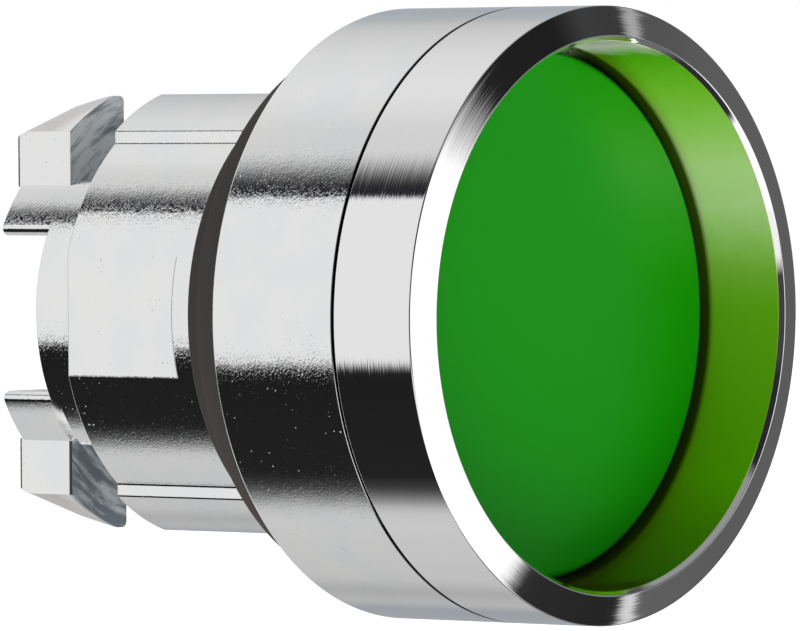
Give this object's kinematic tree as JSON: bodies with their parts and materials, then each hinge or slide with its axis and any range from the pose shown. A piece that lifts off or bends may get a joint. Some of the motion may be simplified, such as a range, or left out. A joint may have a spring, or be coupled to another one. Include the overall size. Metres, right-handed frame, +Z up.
{
  "type": "push-button head",
  "caption": "Round metal push-button head with a recessed green spring-return button, bezel ring, panel gasket and a bayonet neck behind the panel.",
  "frame": {"origin": "middle of the plane where the panel's front face meets the gasket's seal, on the button's axis", "axes": "+Y along the button's axis into the panel, which is also the way the button is pressed; the cap faces -Y; +Z is up, through the middle of the upper horn"},
  "size_m": [0.029, 0.0318, 0.029],
  "materials": {
    "chromed_zinc": "chrome plate over a fine cast skin",
    "polished_chrome": "turned and polished, with fine rings",
    "green_plastic": "satin",
    "gasket_rubber": "matt black",
    "seal_rubber": "matt black",
    "plunger_plastic": "natural white, moulded",
    "foot_plastic": "black, moulded",
    "spring_steel": "bright drawn wire and strip"
  },
  "bodies": {
    "head_body": {"head_casting": "chromed_zinc", "bezel_ring": "polished_chrome", "bezel_seal": "seal_rubber", "panel_gasket": "gasket_rubber", "spring_seat": "spring_steel", "stem_seal": "seal_rubber", "return_spring": "spring_steel"},
    "button": {"button_cap": "green_plastic", "plunger": "plunger_plastic", "pusher_foot": "foot_plastic", "foot_clip": "spring_steel"}
  },
  "joints": [
    {"name": "button_press", "type": "slide", "parent": "head_body", "child": "button", "axis": [0, 1, 0], "range_m": [0, 0.004], "stiffness_N_per_m": 300, "springref_m": -0.006, "deforming": ["return_spring"]}
  ]
}
